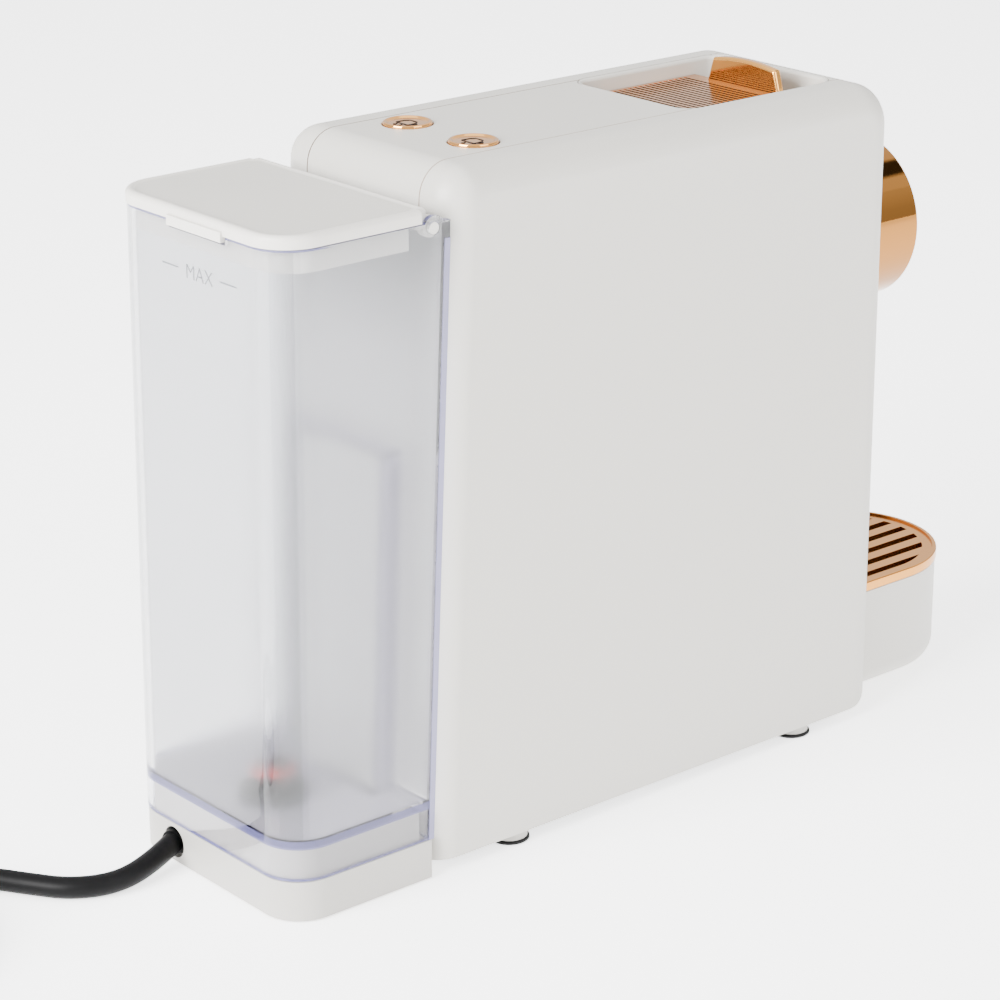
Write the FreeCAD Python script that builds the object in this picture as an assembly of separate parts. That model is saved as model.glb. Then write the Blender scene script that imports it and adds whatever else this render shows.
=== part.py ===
import FreeCAD, Part
import math
import os

from FreeCAD import Vector

# Pod coffee machine. Millimetres, +Z up, the front faces -Y.
# The origin is on the table, under the middle of the machine's length and width.

# --- driving dimensions -------------------------------------------------------------------------
top_z = 230.0             # casing top above the table
body_width = 87.0
body_depth = 203.7        # casing at its foot, front face to rear face
body_bottom = 4.5         # casing edge above the table
rear_lean = 0.045         # the casing's rear face leans forward by this much per mm of height
shell_wall = 2.4
side_round = 10.0         # rounding between the side walls and the rest
top_front_round = 15.0
bottom_front_round = 13.0
top_rear_round = 11.0
strip_half = 28.15        # half width of the middle strip between the side shells
seam = 0.2                # gap at each seam of the casing

tank_depth = 56.5         # tank at its foot, casing to rear face
tank_proud = 0.4          # the tank is wider than the casing by this on each side
tank_drop = 13.6          # tank rim below the casing's top
tank_lean = 0.010         # the tank's rear face leans forward
tank_wall = 2.4
tank_corner = 14.0
tank_floor = 28.0         # top of the floor
tank_floor_thick = 2.6
skirt_bottom = 14.6       # the walls go on below the floor as a skirt
skirt_wall = 1.7
tank_gap = 0.6            # air between the tank and the casing
flange_thick = 2.2        # the tank's front wall is a plate, wider than the tank
flange_proud = 0.3
flange_drop = 5.4         # plate's top below the rim
lid_thick = 4.2
lid_gap = 0.2
lid_over = 0.5            # the lid stands this far behind the tank's rear wall
hinge_drop = 6.2          # lid hinge axis below the lid's top
hinge_behind = 6.7        # lid hinge axis behind the casing's rear face at that height
ear_radius = 4.0
ear_thick = 1.8
lid_pin_radius = 2.0

tray_reach = 61.1         # drip tray in front of the casing
tray_half = 35.0          # half width, and the radius of its round end
tray_top = 42.7
tray_low = 4.7
tray_wall = 2.2
grille_thick = 3.6

disc_radius = 29.2        # spout housing
disc_reach = 28.7
disc_wall = 2.6
brew_drop = 58.9          # brewing axis below the casing's top

recess_half = 29.0        # lever recess in the top
recess_front = 13.7       # casing front face to the recess
recess_length = 70.0
recess_depth = 12.5
recess_corner = 8.0

lever_drop = 5.4          # top of the ribbed plate below the casing's top
lever_thick = 3.0
lip_rise = 4.4            # top of the grip lip above the casing's top
lip_behind = 28.7         # lip middle behind the casing's front face
lip_thick = 3.4
lever_crank = 12.0        # hinge to link pin
lever_crank_angle = 17.5  # degrees below level

cage_radius = 18.4        # pod cage
cage_bore = 15.6
cage_length = 34.0
cage_depth = 27.0
cage_travel = 28.34

button_radius = 8.0
button_x = 16.3
button_from_rear = 41.1
button_rise = 0.9

foot_from_side = 7.5
foot_from_rear = 38.3
foot_from_front = 34.6
foot_pad_radius = 6.8
foot_pad_thick = 2.3

boss_half = 22.0          # docking boss on the casing's rear, which the tank slides over
boss_reach = 8.0
boss_top = 136.0
boss_bottom = 27.0

drawer_half = 26.6        # opening in the front cover for the tray's tongue and the pod bin
drawer_top = 98.0
drawer_depth = 72.0

cord_radius = 3.6
run_gap = 0.05            # radial clearance of a shaft in its bearing
clear = 0.3               # air between pieces that don't touch
loose = 0.5               # air round pieces that are lifted or slid out by hand
screw_radius = 1.5
far = 400.0               # beyond everything

# --- places worked out from them ----------------------------------------------------------------
tank_rear = (tank_depth + body_depth + tray_reach) / 2
body_rear = tank_rear - tank_depth
body_front = body_rear - body_depth
tray_front = body_front - tray_reach
half = body_width / 2
tank_half = half + tank_proud
tank_rim = top_z - tank_drop
lid_bottom = tank_rim + lid_gap
lid_top = lid_bottom + lid_thick
grille_low = tray_top + lid_gap
grille_top = grille_low + grille_thick
brew_z = top_z - brew_drop
recess_y0 = body_front + recess_front
recess_y1 = recess_y0 + recess_length
recess_floor = top_z - recess_depth
lever_top = top_z - lever_drop
lip_y = body_front + lip_behind
button_y = body_rear - button_from_rear


def rear_face(z):
    """y of the casing's rear face at height z."""
    return body_rear - rear_lean * z


def tank_front(z):
    return rear_face(z) + tank_gap


def tank_back(z):
    return tank_rear - tank_lean * z


# --- shape helpers ------------------------------------------------------------------------------
def box(x0, x1, y0, y1, z0, z1):
    return Part.makeBox(x1 - x0, y1 - y0, z1 - z0, Vector(x0, y0, z0))


def rod(radius, start, end):
    a, b = Vector(*start), Vector(*end)
    return Part.makeCylinder(radius, (b - a).Length, a, b - a)


def post(radius, x, y, z0, z1):
    return rod(radius, (x, y, z0), (x, y, z1))


def barrel(radius, y0, y1):
    """Cylinder on the brewing axis."""
    return rod(radius, (0, y0, brew_z), (0, y1, brew_z))


def taper(r0, r1, start, end):
    a, b = Vector(*start), Vector(*end)
    return Part.makeCone(r0, r1, (b - a).Length, a, b - a)


def ring(outer, inner, x, y, z0, z1):
    return post(outer, x, y, z0, z1).cut(post(inner, x, y, z0, z1))


def prism_yz(points, x0, x1):
    wire = Part.makePolygon([Vector(x0, y, z) for y, z in points + points[:1]])
    return Part.Face(wire).extrude(Vector(x1 - x0, 0, 0))


def round_edges(shape, radius, wanted):
    """Fillet every edge whose middle point and direction pass the test."""
    picked = []
    for edge in shape.Edges:
        middle = (edge.FirstParameter + edge.LastParameter) / 2
        if wanted(edge.valueAt(middle), edge.tangentAt(middle)):
            picked.append(edge)
    return shape.makeFillet(radius, picked)


def upright(along):
    return abs(along.z) > 0.9


def crosswise(along):
    return abs(along.x) > 0.9


def pan(x0, x1, y0, y1, z0, z1, radius):
    """Upright block with rounded upright edges."""
    return round_edges(box(x0, x1, y0, y1, z0, z1), radius, lambda at, along: upright(along))


def both_sides(shape):
    """The shape and its mirror image across the machine's middle plane."""
    return [shape, shape.mirror(Vector(0, 0, 0), Vector(1, 0, 0))]


def one(shape):
    """The single solid of a boolean result, without its leftover seams."""
    cleaned = shape.removeSplitter()
    return cleaned.Solids[0] if len(cleaned.Solids) == 1 else cleaned


parts = {}

# --- casing -------------------------------------------------------------------------------------
mid_z = top_z / 2
below = 40.0              # the leaning block starts this far under the foot and is trimmed back


def casing_block(inset):
    """The casing's outer form, moved inwards by inset."""
    y0, z0, z1 = body_front + inset, body_bottom + inset, top_z - inset
    start = z0 - below
    block = prism_yz([(y0, start), (y0, z1), (rear_face(z1) - inset, z1), (rear_face(start) - inset, start)],
                     inset - half, half - inset)
    block = round_edges(block, top_front_round - inset,
                        lambda at, along: crosswise(along) and at.y < 0 and at.z > mid_z)
    block = round_edges(block, top_rear_round - inset,
                        lambda at, along: crosswise(along) and at.y > 0 and at.z > mid_z)
    block = round_edges(block, side_round - inset,
                        lambda at, along: abs(at.x) > half - inset - 0.1 and not crosswise(along)
                        and at.z > start + 0.1)
    foot = prism_yz([(y0, z0), (y0, far), (far, far), (far, z0)], -far, far)
    foot = round_edges(foot, bottom_front_round - inset,
                       lambda at, along: crosswise(along) and at.y < 0 and at.z < mid_z)
    return block.common(foot)


# The floor is open for the chassis, behind the rounded front edge.
mouth_front = body_front + bottom_front_round + 1
mouth_rear = rear_face(0) - side_round
mouth_half = half - shell_wall
mouth_top = body_bottom + shell_wall + 0.6
casing = casing_block(0).cut(casing_block(shell_wall))
casing = casing.cut(box(-mouth_half, mouth_half, mouth_front, mouth_rear, 0, mouth_top))
tail_half = half - side_round
tail_rear = rear_face(0) - shell_wall - 1
casing = casing.cut(box(-tail_half, tail_half, mouth_front, tail_rear, 0, mouth_top))
casing = casing.cut(pan(-recess_half, recess_half, recess_y0, recess_y1, recess_floor - 3, far, recess_corner))

spigot_radius = disc_radius - 5.2
casing = casing.cut(barrel(spigot_radius + clear, body_front - 9, body_front + 9))
casing = casing.cut(box(-drawer_half, drawer_half, body_front - 9, mouth_front + 1, 0, drawer_top))
for x in (-button_x, button_x):
    casing = casing.cut(post(button_radius + clear, x, button_y, top_z - 9, far))
hose_radius = 2.8
inlet_hose_x, inlet_hose_z = -0.5, 10.6
hose_hole = rod(hose_radius + clear, (inlet_hose_x, body_rear - 9, inlet_hose_z),
                (inlet_hose_x, body_rear + 9, inlet_hose_z))
casing = casing.cut(hose_hole)

outer_edge = strip_half + seam / 2
inner_edge = strip_half - seam / 2
parts["side_shell_right"] = one(casing.common(box(outer_edge, far, -far, far, -far, far)))
parts["side_shell_left"] = one(casing.common(box(-far, -outer_edge, -far, far, -far, far)))
strip = casing.common(box(-inner_edge, inner_edge, -far, far, -far, far))
cover_split = (recess_y0 + recess_y1) / 2
parts["front_cover"] = one(strip.common(box(-far, far, -far, cover_split, -far, far)))
rear_cover = strip.common(box(-far, far, cover_split, far, -far, far))

boss_round = 3.0
boss = prism_yz([(rear_face(boss_bottom) - 1, boss_bottom), (rear_face(boss_top) - 1, boss_top),
                 (rear_face(boss_top) + boss_reach, boss_top),
                 (rear_face(boss_bottom) + boss_reach, boss_bottom)], -boss_half, boss_half)
boss = round_edges(boss, boss_round,
                   lambda at, along: at.y > rear_face(at.z) + 1 and at.z > boss_bottom + 1)
# Two posts under the top carry the button board.
board_z = top_z - 14.4
post_radius = 2.5
board_screw_radius = 1.2
post_y = (button_y - 13, button_y + 13)
rear_cover = rear_cover.fuse([boss] + [post(post_radius, 0, y, board_z, top_z - shell_wall + 0.5) for y in post_y])
rear_cover = rear_cover.cut([post(board_screw_radius, 0, y, board_z - 1, board_z + 5) for y in post_y])
parts["top_rear_cover"] = one(rear_cover)

# Bezel: the walls of the lever recess, with a ledge round the mechanism's opening and two ears for
# the lever's pin.
bezel_wall = 1.4
bezel_inset = clear + bezel_wall
pivot_from_recess = 4.65
pivot_y = recess_y1 - pivot_from_recess
pivot_z = lever_top - 2.6
pin_radius = 1.25
lever_half = recess_half - bezel_inset - 0.4
ledge_front = lip_y - 3
bezel = pan(clear - recess_half, recess_half - clear, recess_y0 + clear, recess_y1 - clear, recess_floor,
            top_z - 0.1, recess_corner - clear)
bezel = bezel.cut(pan(bezel_inset - recess_half, recess_half - bezel_inset, recess_y0 + bezel_inset,
                      recess_y1 - bezel_inset, recess_floor + bezel_wall, far, recess_corner - bezel_inset))
bezel = bezel.cut(box(-lever_half, lever_half, ledge_front, pivot_y + 0.15, recess_floor - 1, lever_top))
knuckle_half = recess_half - 8.5
knuckle_radius = 2.5
ear_x = knuckle_half + 0.6
for ear in both_sides(box(ear_x, ear_x + 2.6, pivot_y - knuckle_radius, recess_y1 - bezel_inset + 0.2,
                          recess_floor, pivot_z + 2.0)):
    bezel = bezel.fuse(ear)
parts["recess_bezel"] = one(bezel.cut(rod(pin_radius, (-far, pivot_y, pivot_z), (far, pivot_y, pivot_z))))
parts["lever_pin"] = rod(pin_radius, (-ear_x - 2.6, pivot_y, pivot_z), (ear_x + 2.6, pivot_y, pivot_z))

# --- lever --------------------------------------------------------------------------------------
neck = 9.0                # the plate is as narrow as its knuckle this close to the hinge
plate = box(-lever_half, lever_half, lip_y - lip_thick / 2, pivot_y - neck, lever_top - lever_thick, lever_top)
plate = plate.fuse(box(-knuckle_half, knuckle_half, pivot_y - neck - 1, pivot_y + 0.2,
                       lever_top - lever_thick, lever_top))
plate = plate.fuse(rod(knuckle_radius, (-knuckle_half, pivot_y, pivot_z), (knuckle_half, pivot_y, pivot_z)))
lip_low_half, lip_high_half, lip_crown = 17.6, 14.8, 1.4
lip_top = top_z + lip_rise
lip_back = lip_y - lip_thick / 2
corners = [Vector(x, lip_back, z) for x, z in (
    (-lip_low_half, lever_top - 1), (lip_low_half, lever_top - 1),
    (lip_high_half, lip_top - lip_crown), (-lip_high_half, lip_top - lip_crown))]
lip_edges = [Part.LineSegment(corners[0], corners[1]).toShape(), Part.LineSegment(corners[1], corners[2]).toShape(),
             Part.Arc(corners[2], Vector(0, lip_back, lip_top), corners[3]).toShape(),
             Part.LineSegment(corners[3], corners[0]).toShape()]
lip = Part.Face(Part.Wire(lip_edges)).extrude(Vector(0, lip_thick, 0))
plate = plate.fuse(round_edges(lip, 1.1, lambda at, along: at.z > lever_top))
rib_pitch, groove_width, groove_depth, rib_margin = 2.35, 1.1, 0.8, 1.5
groove_y = lip_y + 4.2
while groove_y < pivot_y - neck - 2:
    plate = plate.cut(box(rib_margin - lever_half, lever_half - rib_margin, groove_y, groove_y + groove_width,
                          lever_top - groove_depth, far))
    groove_y += rib_pitch
# Lugs under the plate carry the link pins; the plate is thinner above the links' eyes.
crank = math.radians(lever_crank_angle)
link_y = pivot_y - lever_crank * math.cos(crank)
link_z = pivot_z - lever_crank * math.sin(crank)
link_x, link_thick, link_gap = 22.0, 2.0, 0.7
lug_x0 = link_x + link_thick + link_gap
lug_x1, lug_reach = lug_x0 + 1.8, 2.6
link_pin_radius = 1.2
link_round = 3.0
for lug in both_sides(box(lug_x0, lug_x1, link_y - lug_reach, link_y + lug_reach, link_z - lug_reach,
                          lever_top - 1)):
    plate = plate.fuse(lug)
relief_top = lever_top - 1.9
plate = plate.cut(box(-lug_x0 + clear, lug_x0 - clear, link_y - 9, link_y + 6, 0, relief_top))
link_axis = rod(link_pin_radius, (link_x - 0.4, link_y, link_z), (lug_x1, link_y, link_z))
plate = plate.cut(both_sides(link_axis))
plate = plate.cut(rod(pin_radius + run_gap, (-far, pivot_y, pivot_z), (far, pivot_y, pivot_z)))
parts["lever"] = one(plate)
parts["link_pins"] = Part.makeCompound(both_sides(link_axis))

# --- pod cage and its links ---------------------------------------------------------------------
cage_front = body_front + 12.5
cage_rear = cage_front + cage_length
cage_pin_y = cage_front + 7
cage_pin_radius = 1.6
cage_pin_end = 28.2
rail_half = cage_radius + 1.6
port_radius, port_bore = 3.0, 1.5
cage = barrel(cage_radius, cage_front, cage_rear).cut(barrel(cage_bore, cage_front - 1, cage_front + cage_depth))
rail = box(-rail_half, rail_half, cage_front + 2, cage_rear - 2, brew_z - 4, brew_z + 4)
rail = rail.cut(barrel(cage_radius - 0.6, cage_front - 9, cage_rear + 9))
cage = cage.fuse(rail.Solids + [barrel(port_radius, cage_rear - 0.5, cage_rear + 7)])
cage = cage.cut(barrel(port_bore, cage_rear - 9, cage_rear + 9))
cage_pin = rod(cage_pin_radius, (cage_bore + 0.9, cage_pin_y, brew_z), (cage_pin_end, cage_pin_y, brew_z))
parts["pod_cage"] = one(cage.cut(both_sides(cage_pin)))
parts["cage_pins"] = Part.makeCompound(both_sides(cage_pin))

seat_y = cage_front + cage_depth
needle_disc = 9.0
needle_circle = 6.0
needles = barrel(needle_disc, seat_y - 1.5, seat_y).cut(barrel(port_bore, seat_y - 9, seat_y + 9))
for turn in range(3):
    angle = math.radians(90 + 120 * turn)
    x, z = needle_circle * math.cos(angle), brew_z + needle_circle * math.sin(angle)
    needles = needles.fuse(taper(0.15, 1.3, (x, seat_y - 7, z), (x, seat_y - 1, z)))
parts["piercing_needles"] = one(needles)


def flat_bar(x0, x1, start, end, radius):
    """Flat bar with round ends between two (y, z) points, lying across X."""
    a, b = Vector(x0, *start), Vector(x0, *end)
    run = (b - a).normalize()
    side = Vector(0, -run.z, run.y) * radius
    run = run * radius
    wire = Part.Wire([Part.LineSegment(a + side, b + side).toShape(),
                      Part.Arc(b + side, b + run, b - side).toShape(),
                      Part.LineSegment(b - side, a - side).toShape(),
                      Part.Arc(a - side, a - run, a + side).toShape()])
    return Part.Face(wire).extrude(Vector(x1 - x0, 0, 0))


# Each link hangs from the lever's pin and ends in a slot round the cage's pin.
slot_start, slot_end = (cage_pin_y + 0.1, brew_z - 0.2), (cage_pin_y + 3.3, brew_z - 0.75)
slot_radius = cage_pin_radius + 0.95
link = flat_bar(link_x, link_x + link_thick, (link_y, link_z), (cage_pin_y, brew_z), link_round)
link = link.fuse(flat_bar(link_x, link_x + link_thick, slot_start, slot_end, slot_radius + 1.9))
link = link.cut(flat_bar(link_x - 1, link_x + link_thick + 1, slot_start, slot_end, slot_radius))
link = one(link.cut(rod(link_pin_radius + run_gap, (link_x - 9, link_y, link_z), (far, link_y, link_z))))
parts["drive_links"] = Part.makeCompound(both_sides(link))

# --- brew frame, extraction plate and pod chute -------------------------------------------------
frame_half, frame_plate = 31.4, 2.8
frame_y0 = body_front + shell_wall + clear
frame_y1 = cage_rear + cage_travel + 9.7
frame_z0, frame_z1 = brew_z - 24, brew_z + 24
frame = both_sides(box(frame_half - frame_plate, frame_half, frame_y0, frame_y1, frame_z0, frame_z1))
frame.append(box(-frame_half, frame_half, frame_y0, frame_y0 + 3, frame_z0, frame_z1))
frame.append(box(-frame_half, frame_half, frame_y1 - 3, frame_y1, brew_z + 6, frame_z1))
# The cage slides on two shelves.
shelf_z = brew_z - cage_radius - clear
frame += both_sides(box(cage_radius - 4, frame_half - 1, frame_y0 + 2, frame_y1, shelf_z - 1.8, shelf_z))
snout = 12.0
frame = frame[0].fuse(frame[1:]).cut(barrel(snout, frame_y0 - 9, frame_y0 + 9))

extraction = barrel(cage_radius, frame_y0 + 3, cage_front - 0.6)
extraction = extraction.fuse(barrel(snout - clear, frame_y0 - 4, frame_y0 + 4))
hole_pitch = 5.0
for row in range(-2, 3):
    for column in range(-2, 3):
        if abs(row) + abs(column) < 3:
            x, z = hole_pitch * column, brew_z + hole_pitch * row
            extraction = extraction.cut(rod(0.9, (x, frame_y0 - 9, z), (x, cage_front + 9, z)))
parts["extraction_plate"] = one(extraction)

chute_half, chute_wall = 21.2, 1.6
chute_y0 = cage_front + 0.5
chute_y1 = chute_y0 + 45
chute = box(-chute_half, chute_half, chute_y0, chute_y1, frame_z1, recess_floor - 0.4)
chute = chute.cut(box(chute_wall - chute_half, chute_half - chute_wall, chute_y0 + chute_wall,
                      chute_y1 - chute_wall, 0, far))
tab_half = 15.0
chute = chute.fuse(box(-tab_half, tab_half, frame_y0, chute_y0 + 1, frame_z1, frame_z1 + 2))
parts["pod_chute"] = one(chute)

# --- spout --------------------------------------------------------------------------------------
disc_back = body_front - clear
disc_front = body_front - disc_reach
housing = round_edges(barrel(disc_radius, disc_back, disc_front), 1.0, lambda at, along: at.y < disc_front + 0.1)
housing = housing.cut(barrel(disc_radius - disc_wall, disc_back - disc_wall, disc_front - 1))
housing = housing.fuse(barrel(spigot_radius, body_front + shell_wall, disc_back - 1))
housing = housing.cut(barrel(snout, body_front + 9, disc_back - 9))
nozzle_y = (disc_back + disc_front) / 2 - 1
nozzle_radius = 7.0
nozzle_low = brew_z - disc_radius - 3.5
nozzle_high = brew_z - disc_radius + 9
parts["spout_housing"] = one(housing.cut(post(nozzle_radius, 0, nozzle_y, nozzle_low - 9, nozzle_high)))
cap_y = disc_front + 0.6
parts["spout_cap"] = barrel(disc_radius - disc_wall, cap_y, cap_y + 2.2)
nozzle = post(nozzle_radius, 0, nozzle_y, nozzle_low, nozzle_high)
parts["coffee_nozzle"] = one(nozzle.cut([post(1.5, x, nozzle_y, 0, far) for x in (-3, 3)]))

# --- chassis and feet ---------------------------------------------------------------------------
chassis_low = body_bottom + 0.5
chassis_top = chassis_low + 2.6
chassis_half = mouth_half - clear
chassis = box(-chassis_half, chassis_half, mouth_front + clear, mouth_rear - clear, chassis_low, chassis_top)
chassis = chassis.fuse(box(clear - tail_half, tail_half - clear, mouth_front + 2, tail_rear - clear,
                           chassis_low, chassis_top))
chassis = chassis.cut(box(-drawer_half, drawer_half, -far, body_front + drawer_depth, 0, far))

foot_x = half - foot_from_side
feet = [(x, y) for x in (-foot_x, foot_x) for y in (body_rear - foot_from_rear, body_front + foot_from_front)]
stem_radius = 5.0
parts["foot_stems"] = Part.makeCompound([post(stem_radius, x, y, foot_pad_thick, chassis_low) for x, y in feet])
parts["foot_pads"] = Part.makeCompound([
    round_edges(post(foot_pad_radius, x, y, 0, foot_pad_thick), 0.7, lambda at, along: True) for x, y in feet])

# Inner frame: two walls that carry the brew frame and the heater, joined by bars.
wall_x = frame_half + 0.4
wall_thick = 2.2
inner_y0, inner_y1 = body_front + 22, body_front + 129.5
heater_y0, heater_y1 = frame_y1 + 9, frame_y1 + 37
heater_z0, heater_z1 = brew_z - 65, brew_z + 5
heater_half = 28.0
inner = both_sides(box(wall_x, wall_x + wall_thick, inner_y0, inner_y1, chassis_top, frame_z1))
for z0, z1 in ((heater_z0 - 6, heater_z0 - 2), (frame_z1 - 12, frame_z1)):
    inner.append(box(-wall_x - wall_thick, wall_x + wall_thick, inner_y1 - 2, inner_y1, z0, z1))
inner += both_sides(box(wall_x + 1, half - shell_wall - 1, inner_y0, inner_y1, chassis_top, chassis_top + 2))
for z in (heater_z0 + 10, heater_z1 - 14):
    inner += both_sides(box(heater_half, wall_x + 1, heater_y0 + 8, heater_y0 + 20, z, z + 6))
control_x = wall_x + wall_thick + 2.4
for z in (brew_z - 100, brew_z - 11):
    inner.append(box(wall_x + 1, control_x, heater_y0 + 14, heater_y0 + 20, z, z + 5))
inner = inner[0].fuse(inner[1:])

frame_pins = []
for z in (frame_z0 + 6, frame_z1 - 6):
    for y in (frame_y0 + 26, frame_y1 - 6):
        frame_pins += both_sides(rod(screw_radius, (frame_half - frame_plate - 2, y, z),
                                     (wall_x + wall_thick + 2, y, z)))
parts["frame_screws"] = Part.makeCompound(frame_pins)
parts["brew_frame"] = one(frame.cut(frame_pins))
screws = []
for x in (-foot_x, foot_x):
    for y in (body_front + 54, body_front + 110):
        screws.append(one(post(3.0, x, y, chassis_low - 0.4, chassis_low + 1.2)
                          .fuse(post(screw_radius, x, y, chassis_low, chassis_top + 3))))
parts["chassis_screws"] = Part.makeCompound(screws)
parts["inner_frame"] = one(inner.cut(frame_pins + screws))

# --- rear base under the tank -------------------------------------------------------------------
base_low = 0.6
base_top = skirt_bottom - loose
base_wall = 2.4
base_front = body_rear + clear


def tank_outline(inset, y0, z0, z1):
    """Upright block with the tank's rounded rear corners, moved inwards by inset."""
    block = box(inset - tank_half, tank_half - inset, y0, tank_rear - inset, z0, z1)
    return round_edges(block, tank_corner - inset, lambda at, along: upright(along) and at.y > y0 + 1)


base_inset = 0.4
pedestal_inset = skirt_wall + 0.8
pedestal_top = tank_floor - tank_floor_thick - loose
hollow_inset = pedestal_inset + base_wall
base = tank_outline(base_inset, base_front, base_low, base_top)
base = base.cut(tank_outline(base_inset + base_wall, base_front + base_wall, base_low - 1, base_top - base_wall))
base = base.fuse(tank_outline(pedestal_inset, base_front + 4, base_top - 1, pedestal_top))
base = base.cut(tank_outline(hollow_inset, base_front + 6, base_low + 4, pedestal_top - base_wall))
pocket_wall, pocket_gap = 1.8, 1.0
boss_room = pocket_gap + pocket_wall + 0.6
base = base.cut(box(-boss_half - boss_room, boss_half + boss_room, 0, body_rear + boss_reach + boss_room,
                    base_top, far))
valve_x, valve_y = -6.0, tank_rear - 22.65
valve_radius = 8.0
socket_radius = 11.0
cord_x, cord_z = 20.0, 7.4
grommet_radius = 5.2
base = base.cut([post(socket_radius, valve_x, valve_y, base_low + 4, far), hose_hole,
                 rod(grommet_radius, (cord_x, tank_rear - 9, cord_z), (cord_x, far, cord_z))])
parts["rear_base"] = one(base)
plate_inset = base_inset + base_wall + clear
parts["base_plate"] = tank_outline(plate_inset, base_front + base_wall + clear, base_low, base_low + 2)


# --- tank ---------------------------------------------------------------------------------------
def tank_block(inset, z0, z1, front_inset):
    """The tank's leaning outer form between two heights, moved inwards by inset."""
    block = prism_yz([(tank_front(z0) + front_inset, z0), (tank_front(z1) + front_inset, z1),
                      (tank_back(z1) - inset, z1), (tank_back(z0) - inset, z0)],
                     inset - tank_half, tank_half - inset)
    return round_edges(block, tank_corner - inset, lambda at, along: upright(along) and at.y > tank_rear - 9)


def front_slab(z0, z1, ahead, behind, x_half):
    """Leaning slab along the tank's front face, from ahead of it to behind it."""
    return prism_yz([(tank_front(z0) - ahead, z0), (tank_front(z1) - ahead, z1),
                     (tank_front(z1) + behind, z1), (tank_front(z0) + behind, z0)], -x_half, x_half)


flange_top = tank_rim - flange_drop
pocket_half = boss_half + pocket_gap
pocket_top = boss_top + 2
pocket_behind = boss_reach + pocket_gap - tank_gap
tank = tank_block(0, skirt_bottom, tank_rim, 0).cut(tank_block(tank_wall, tank_floor, far, flange_thick))
tank = tank.cut(tank_block(skirt_wall, skirt_bottom - 1, tank_floor - tank_floor_thick, flange_thick))
tank = tank.fuse(front_slab(skirt_bottom, flange_top, 0, flange_thick, tank_half + flange_proud))
tank = tank.fuse(front_slab(skirt_bottom, pocket_top + pocket_wall, 0, pocket_behind + pocket_wall,
                            pocket_half + pocket_wall))
tank = tank.cut(front_slab(skirt_bottom - 1, pocket_top, 3, pocket_behind, pocket_half))
hinge_z = lid_top - hinge_drop
hinge_y = rear_face(hinge_z) + hinge_behind
ear_in = tank_half - ear_thick
ear_block = rod(ear_radius, (ear_in, hinge_y, hinge_z), (tank_half, hinge_y, hinge_z))
ear_block = ear_block.fuse(box(ear_in, tank_half, hinge_y - ear_radius, hinge_y + ear_radius,
                               hinge_z - 9, hinge_z))
tank = tank.fuse(both_sides(ear_block))
tank = tank.cut(rod(lid_pin_radius + run_gap, (-far, hinge_y, hinge_z), (far, hinge_y, hinge_z)))
# The front wall is lower, where the lid's edge turns down to it, and the rim is notched at the back
# under the lid's finger tab.
front_notch = 1.1
tank = tank.cut(box(tank_wall - tank_half, tank_half - tank_wall, 0, tank_front(tank_rim) + flange_thick + 1,
                    tank_rim - front_notch, far))
tab_x0, tab_x1, tab_drop = -17.0, 12.0, 2.4
tank = tank.cut(box(tab_x0, tab_x1, tank_back(tank_rim) - tank_wall - 1, far, tank_rim - tab_drop, far))
tank = tank.cut(post(valve_radius, valve_x, valve_y, skirt_bottom, tank_floor + 9))
parts["water_tank"] = one(tank)

# Lid: a plate with rounded edges, a rim that hangs inside the tank, arms with the hinge pins, a tab.
lid_front = hinge_y + 1.0
lid_rear = tank_back(tank_rim) + lid_over
lid = box(-tank_half, tank_half, lid_front, lid_rear, lid_bottom, lid_top)
lid = round_edges(lid, tank_corner, lambda at, along: upright(along) and at.y > lid_front + 1)
lid = round_edges(lid, 1.6, lambda at, along: at.z > lid_top - 0.01)
lid = lid.cut(both_sides(box(tank_half - tank_wall - 0.4, far, 0, hinge_y + ear_radius + 0.6, 0, far)))
rim_inset, rim_wall, rim_hang = tank_wall + 1.0, 1.5, 8.0
rim_rear = tank_back(tank_rim) - rim_inset - 0.4
rim_y0 = hinge_y + 8


def rim_block(inset, y0, z0, z1):
    block = box(rim_inset + inset - tank_half, tank_half - rim_inset - inset, y0, rim_rear - inset, z0, z1)
    return round_edges(block, tank_corner - rim_inset - inset, lambda at, along: upright(along) and at.y > y0 + 1)


lid = lid.fuse(rim_block(0, rim_y0, lid_bottom - rim_hang, lid_bottom + 0.5)
               .cut(rim_block(rim_wall, rim_y0 - 9, lid_bottom - rim_hang - 9, lid_bottom + 0.6)))
arm_x1 = tank_half - tank_wall - 0.4
arm_x0 = arm_x1 - 3
arm_radius = 3.2
arm = rod(arm_radius, (arm_x0, hinge_y, hinge_z), (arm_x1, hinge_y, hinge_z))
arm = arm.fuse([box(arm_x0, arm_x1, hinge_y - 2.4, hinge_y + 6, hinge_z, lid_bottom + 1),
                rod(lid_pin_radius, (arm_x1 - 1, hinge_y, hinge_z), (tank_half - clear, hinge_y, hinge_z))])
lid = lid.fuse(both_sides(arm))
lid = lid.fuse(box(tab_x0 + 0.6, tab_x1 - 0.6, tank_back(tank_rim) - 1, lid_rear + 0.9,
                   lid_bottom - tab_drop + 0.6, lid_bottom + 1.5))
parts["tank_lid"] = one(lid)

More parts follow.
